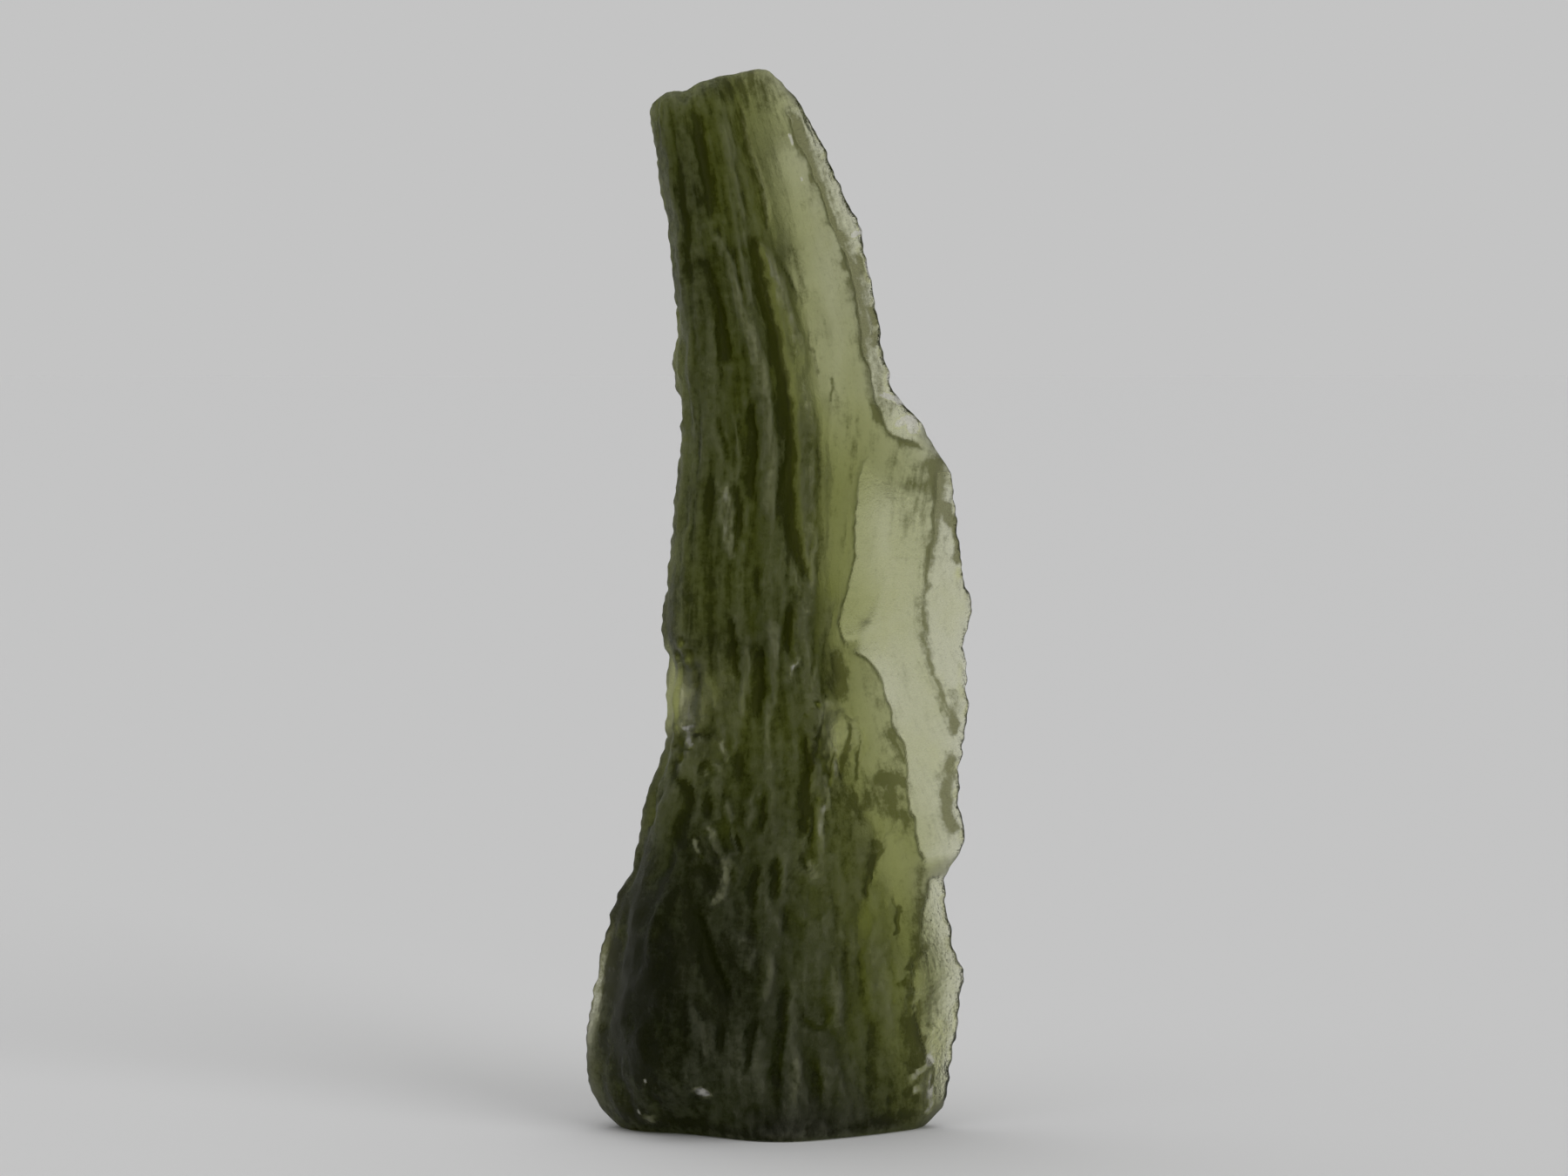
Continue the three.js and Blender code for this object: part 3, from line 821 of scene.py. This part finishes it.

# The veil is the frosted haze of the skin, and the stain darkens it: painted shade in its grooves, dips and
# creases,
# # with some random darker tone. Each is a sum of fields, times these weights.
skin = {
    "veilAndGlints": {"everywhere": 0.22, "crests": 0.25, "ridged": 0.45, "grooved": -0.45, "streaks": 0.2,
             "pits": 0.12, "clouds": 0.25},
    "stainAndShade": {"everywhere": 0.16, "dips": -0.3, "grooved": 0.7, "ridged": -0.3, "streaks": -0.25,
              "pits": -0.15, "lumps": -0.15},
    "crestHeight": 0.05,  # mm that a full crest stands above the smoothed skin
    "crestRounds": 6,  # rounds of that smoothing
    "crestRange": (-0.5, 1.5),
    "dipRange": (-1, 0.4),
    "veilFrom": (1, 3.5),  # mm of glass over which the veil comes in
    "freshVeil": 0.85,  # share of the veil that a fresh break lacks
    "freshStain": 0.6,
    "middlingFrom": (0.7, 1.7),  # mm of glass over which faint mottles come in
    "middlingStain": 0.55,
    "middlingMix": {"streaks": 0.9, "lumps": 0.6, "raggedness": 0.6},
    "frontTurn": (-0.2, 0.4),  # how squarely the skin faces front where the tones lie
    "mottle": (1.2, 0.8),  # how lumps and raggedness break up a patch
    "fray": (1.4, 0.8),  # how raggedness and fibres break up a line
    "lineStray": 0.12,  # how far raggedness pushes a line aside
    "bloomFrom": (0.15, 0.75),
    "bloomEven": 0.75,  # share of a bloom that isn't frayed
    "bloomClean": 0.8,  # share of the stain and painted shade that it covers
    # painted shade along the creases of the ledges
    "creaseShade": 0.8,
    "flangeFrom": (2.2, 1.2),  # mm of glass over which the flange's clouds come in
    "flangeVeil": 0.5,
    "flangeRagged": 0.5,
    "flangeStain": 0.16,
    "flangeLumps": 0.6,
    # the right edge, whitened as crushed glass and as a painted bright rim
    "crushedAndGlints": 4.5,
    "brightRimDepth": 0.14,  # mm in from the edge over which the white rim dies out
    "brightRimCrumbs": (3, 0.5),  # how much of the crumbs shows: gain, threshold
    "brightRimFrom": (1.5, 5),  # heights over which it comes in
}


def mixed(weights):
    # the weighted sum of some fields
    return sum(weight * fields[name] for name, weight in weights.items())


def toneLine(width, path):
    # how near each point of the fluted face is to a tone's line, 0 to 1
    return strokeCut(strayed, z, "groove", width, 1, path, fades=stone["toneFades"])[1] * front


proud = points - neighbourMean(mesh, points, skin["crestRounds"])
crest = np.einsum("ij,ij->i", proud, readNormals(mesh)) / skin["crestHeight"]
crests = np.clip(crest, *skin["crestRange"])
dips = np.clip(crest, *skin["dipRange"])
fields = {"everywhere": 1, "crests": crests, "dips": dips, "ridged": ridged, "grooved": grooved,
          "streaks": streaks, "pits": pits, "lumps": lumps, "clouds": clouds, "raggedness": raggedness}
veilAndGlints = np.clip(mixed(skin["veilAndGlints"]), 0, 1) * (1 - skin["freshVeil"] * fresh)
veilAndGlints *= smoothStep(*skin["veilFrom"], through)
# painted shade in the grooves and dips, with some random darker tone, held to thick glass
stainAndShade = np.clip(mixed(skin["stainAndShade"]), 0, 1) * (1 - skin["freshStain"] * fresh) * solid
middling = smoothStep(*skin["middlingFrom"], through) * (1 - solid) * (1 - skin["freshStain"] * fresh)
stainAndShade += skin["middlingStain"] * middling * np.clip(mixed(skin["middlingMix"]), 0, 1)

front = smoothStep(*skin["frontTurn"], facing)
byLumps, byRaggedness = skin["mottle"]
mottled = np.clip(1 + byLumps * lumps + byRaggedness * raggedness, 0, 2)
for centre, radii, veilShare, stainAndShadeAdded in tonePatches:
    patch = patchAt(x, z, centre, radii) * front
    veilAndGlints *= 1 + (veilShare - 1) * patch
    stainAndShade += stainAndShadeAdded * patch * mottled
byRaggedness, byFibres = skin["fray"]
frayed = np.clip(1 + byRaggedness * raggedness + byFibres * fibres, 0, 2)
strayed = x + straying + skin["lineStray"] * raggedness
# shades: mostly painted shade, with some real brown marks and cracks
for width, strength, path in shadesAndStains:
    stainAndShade += strength * toneLine(width, path)
# blooms: frosted haze, and the painted glints and highlights
for width, strength, path in hazeAndGlints:
    broken = skin["bloomEven"] + (1 - skin["bloomEven"]) * frayed
    bloom = smoothStep(*skin["bloomFrom"], toneLine(width, path) * broken)
    veilAndGlints += strength * bloom * frayed
    stainAndShade *= 1 - skin["bloomClean"] * bloom
# painted shade along the creases of the ledges
stainAndShade = np.clip(np.maximum(stainAndShade, skin["creaseShade"] * creased * front), 0, 1)

# the thin flange is faintly clouded, and its edge is whitened in places, partly as crushed glass and partly
# as a painted bright rim
flange = smoothStep(*skin["flangeFrom"], through)
veilAndGlints += skin["flangeVeil"] * flange * np.clip(clouds + skin["flangeRagged"] * raggedness, 0, 1)
stainAndShade += skin["flangeStain"] * flange * np.clip(skin["flangeLumps"] * lumps - clouds, 0, 1)
gain, threshold = skin["brightRimCrumbs"]
veilAndGlints += (skin["crushedAndGlints"] * np.exp(-fromEdge(1) / skin["brightRimDepth"])
         * np.clip(gain * crumbs - threshold, 0, 1) * smoothStep(*skin["brightRimFrom"], z))

for name, values in (("fresh", fresh), ("veilAndGlints", veilAndGlints), ("stainAndShade", stainAndShade)):
    mesh.attributes.new(name, "FLOAT", "POINT").data.foreach_set("value", values.astype(np.float32))
flowField = mesh.attributes.new("flow", "FLOAT_VECTOR", "POINT")
flowField.data.foreach_set("vector", alongFlow.astype(np.float32).ravel())
mesh.polygons.foreach_set("use_smooth", np.ones(len(mesh.polygons), bool))
print("skin toned")

# Natural tektite glass, etched by ground water and broken afresh at some edges. That gives the eye a matte
# skin that lets light through: nearly colourless where it is thin, bottle green where it is thick, with
# grey-green frosted ridges, dark grooves and white crushed spots.
# The dark of the grooves is partly painted shade, and some white spots are painted glints.
glass = {
    "ior": 1.49,
    "roughness": (0.56, 0.16),  # of the etched skin, and of a fresh break
    "glint": "#92946e",  # a matte etched skin gives back little light, and that a little green
    "thin": "#f3f3e2",
    "frosted": "#eff0c5",
    # the white of crushed glass, of the painted glints and of the painted bright rim
    "crushedAndGlints": "#f6f4ee",
    # the colour of the stain and of the painted shade
    "stainedAndShaded": "#6c6c4b",
    "deep": "#d0d495",  # what thick glass lets through
    "density": 1350,  # of that colour, per metre of glass
    "haze": 0.09,  # share of the light that a veil of 1 scatters
    "fullVeil": 5,  # a veil scatters no more beyond this
    "crushedAndGlintVeil": (1.3, 2.6),  # veil over which the frosted colour turns to the white of crushed glass and painted glints
    "stainAndShadeCurve": (0.05, 0.85),  # stain and painted shade over which the skin darkens
    "fibreWidth": (0.31, 0.62, 2),  # mm across, through and along the flow
    "fibreNoise": {"Scale": 1, "Detail": 4, "Roughness": 0.62, "Distortion": 0.4},
    "grainSize": 0.22,  # mm
    "grainNoise": {"Detail": 4, "Roughness": 0.7},
    "fineFrom": (0.6, 1.4),  # what fibres and grain add up to, from dark to pale
    "fine": (-2, 2),  # and the same as the fine texture holds it
    "veilBreak": (-0.1, 2.1),  # how it thins and thickens the veil
    "stainAndShadeBreak": -0.22,  # and how it shifts the stain and painted shade
    "pitSize": 0.17,  # mm, about twice that of the real pits, which are too fine to show
    "pitNoise": {"Detail": 3, "Roughness": 0.65},
    "pitDepth": 0.08,  # mm
    "dentStrength": 0.7,
}


def makeTektiteGlass():
    material = bpy.data.materials.new("etchedTektiteGlass")
    material.use_nodes = True
    tree = material.node_tree
    tree.nodes.clear()
    place = addNode(tree, "ShaderNodeTexCoord")
    freshness, veilAndGlintNode, stainedAndShaded, flowing = (addNode(tree, "ShaderNodeAttribute", {"attribute_name": name})
                                           for name in ("fresh", "veilAndGlints", "stainAndShade", "flow"))

    # fine texture: fibres along the flow and an even grain
    perFibre = tuple(1 / size for size in glass["fibreWidth"])
    stretched = addNode(tree, "ShaderNodeVectorMath", {"operation": "MULTIPLY", 1: perFibre},
                        {0: flowing.outputs["Vector"]})
    fibre = addNode(tree, "ShaderNodeTexNoise", glass["fibreNoise"], {"Vector": stretched.outputs[0]})
    grain = addNode(tree, "ShaderNodeTexNoise",
                    {"Scale": 1 / (glass["grainSize"] * mm), **glass["grainNoise"]},
                    {"Vector": place.outputs["Object"]})
    both = addNode(tree, "ShaderNodeMath", {"operation": "ADD"},
                   {0: fibre.outputs["Fac"], 1: grain.outputs["Fac"]})
    fine = addRange(tree, both.outputs[0], glass["fineFrom"], glass["fine"], clamp=False)

    # the veil scatters light, so less goes through where it lies
    veilBreak = addRange(tree, fine.outputs[0], glass["fine"], glass["veilBreak"])
    brokenVeilAndGlints = addNode(tree, "ShaderNodeMath", {"operation": "MULTIPLY"},
                         {0: veilAndGlintNode.outputs["Fac"], 1: veilBreak.outputs[0]})
    fullVeil = glass["fullVeil"]
    clear = addRange(tree, brokenVeilAndGlints.outputs[0], (0, fullVeil), (1, 1 - fullVeil * glass["haze"]))

    # the skin's colour: thin glass, frosted ridges, crushed spots and painted glints, with the stain and
    # painted shade over them all
    frosted = addNode(tree, "ShaderNodeMix",
                      {"data_type": "RGBA", 6: linear(glass["thin"]), 7: linear(glass["frosted"])},
                      {0: veilAndGlintNode.outputs["Fac"]})
    crushedAndGlintShare = addRange(tree, veilAndGlintNode.outputs["Fac"], glass["crushedAndGlintVeil"])
    crushedAndGlints = addNode(tree, "ShaderNodeMix", {"data_type": "RGBA", 7: linear(glass["crushedAndGlints"])},
                      {0: crushedAndGlintShare.outputs[0], 6: frosted.outputs[2]})
    brokenStainAndShade = addNode(tree, "ShaderNodeMath", {"operation": "MULTIPLY_ADD", 1: glass["stainAndShadeBreak"]},
                          {0: fine.outputs[0], 2: stainedAndShaded.outputs["Fac"]})
    stainAndShadeShare = addRange(tree, brokenStainAndShade.outputs[0], glass["stainAndShadeCurve"], interpolation_type="SMOOTHSTEP")
    colour = addNode(tree, "ShaderNodeMix", {"data_type": "RGBA", 7: linear(glass["stainedAndShaded"])},
                     {0: stainAndShadeShare.outputs[0], 6: crushedAndGlints.outputs[2]})

    # fresh breaks are smoother, and fibres and pits dent the skin
    rough = addRange(tree, freshness.outputs["Fac"], (0, 1), glass["roughness"])
    pitting = addNode(tree, "ShaderNodeTexNoise",
                      {"Scale": 1 / (glass["pitSize"] * mm), **glass["pitNoise"]},
                      {"Vector": place.outputs["Object"]})
    dent = {"Strength": glass["dentStrength"], "Distance": glass["pitDepth"] * mm}
    fibreDents = addNode(tree, "ShaderNodeBump", dent, {"Height": fibre.outputs["Fac"]})
    dents = addNode(tree, "ShaderNodeBump", dent,
                    {"Height": pitting.outputs["Fac"], "Normal": fibreDents.outputs["Normal"]})

    surface = addNode(tree, "ShaderNodeBsdfPrincipled",
                      {"IOR": glass["ior"], "Specular Tint": linear(glass["glint"])},
                      {"Base Color": colour.outputs[2], "Roughness": rough.outputs[0],
                       "Transmission Weight": clear.outputs[0], "Normal": dents.outputs["Normal"]})
    body = addNode(tree, "ShaderNodeVolumeAbsorption",
                   {"Color": linear(glass["deep"]), "Density": glass["density"]})
    addNode(tree, "ShaderNodeOutputMaterial", {},
            {"Surface": surface.outputs["BSDF"], "Volume": body.outputs["Volume"]})
    return material


mesh.materials.clear()
mesh.materials.append(makeTektiteGlass())
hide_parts(stone["node"])
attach(piece, "root")
print("glass made")

studio = {
    "floorRadius": 4,  # m
    "floorSides": 96,
    "card": "#e7e7e7",
    "cardRoughness": 0.9,
    "paleBand": "#c4c4c4",  # light all round, low in the sky
    "darkAbove": "#383838",
    "bandTop": (0.18, 0.35),  # where the pale band fades out, as height on a sky of radius 1
    "skylight": {"source": (-0.2, 0.15, 1), "strength": 1.6, "size": 90},  # size in degrees
    "sideLight": {"source": (0.8, -0.8, 0.55), "strength": 0.9, "size": 35},
    "lens": 110,  # mm
    "cameraTilt": 3,  # degrees down
    "cameraDistance": 0.2037,  # m
    "aim": (0.0002, 0, 0.02304),  # m
}


def makeFloor():
    shape = bmesh.new()
    bmesh.ops.create_circle(shape, cap_ends=True, segments=studio["floorSides"], radius=studio["floorRadius"])
    floorMesh = bpy.data.meshes.new("floor")
    shape.to_mesh(floorMesh)
    shape.free()
    card = bpy.data.materials.new("matteCard")  # uncoated white card, evenly matte
    card.use_nodes = True
    surface = card.node_tree.nodes["Principled BSDF"]
    surface.inputs["Base Color"].default_value = linear(studio["card"])
    surface.inputs["Roughness"].default_value = studio["cardRoughness"]
    floorMesh.materials.append(card)
    floor = bpy.data.objects.new("floor", floorMesh)
    bpy.context.collection.objects.link(floor)


def makeSky():
    sky = bpy.data.worlds.new("studioSky")
    bpy.context.scene.world = sky
    sky.use_nodes = True
    tree = sky.node_tree
    tree.nodes.clear()
    direction = addNode(tree, "ShaderNodeTexCoord")
    height = addNode(tree, "ShaderNodeSeparateXYZ", {}, {0: direction.outputs["Generated"]})
    above = addRange(tree, height.outputs["Z"], studio["bandTop"], interpolation_type="SMOOTHSTEP")
    colour = addNode(tree, "ShaderNodeMix",
                     {"data_type": "RGBA", 6: linear(studio["paleBand"]), 7: linear(studio["darkAbove"])},
                     {0: above.outputs[0]})
    glow = addNode(tree, "ShaderNodeBackground", {}, {"Color": colour.outputs[2]})
    addNode(tree, "ShaderNodeOutputWorld", {}, {"Surface": glow.outputs[0]})


def addSun(name, source, strength, size):
    light = bpy.data.lights.new(name, "SUN")
    light.energy = strength
    light.angle = math.radians(size)
    lamp = bpy.data.objects.new(name, light)
    lamp.location = source
    lamp.rotation_euler = (-Vector(source)).to_track_quat("-Z", "Y").to_euler()
    bpy.context.collection.objects.link(lamp)


def addCamera():
    camera = bpy.data.objects.new("camera", bpy.data.cameras.new("camera"))
    camera.data.lens = studio["lens"]
    tilt = math.radians(studio["cameraTilt"])
    backward = Vector((0, -math.cos(tilt), math.sin(tilt)))
    camera.location = Vector(studio["aim"]) + studio["cameraDistance"] * backward
    camera.rotation_euler = (math.pi / 2 - tilt, 0, 0)
    bpy.context.collection.objects.link(camera)
    bpy.context.scene.camera = camera


makeFloor()
makeSky()
addSun("skylight", **studio["skylight"])
addSun("sideLight", **studio["sideLight"])
addCamera()
bpy.context.scene.view_settings.view_transform = "Standard"
print("studio set")
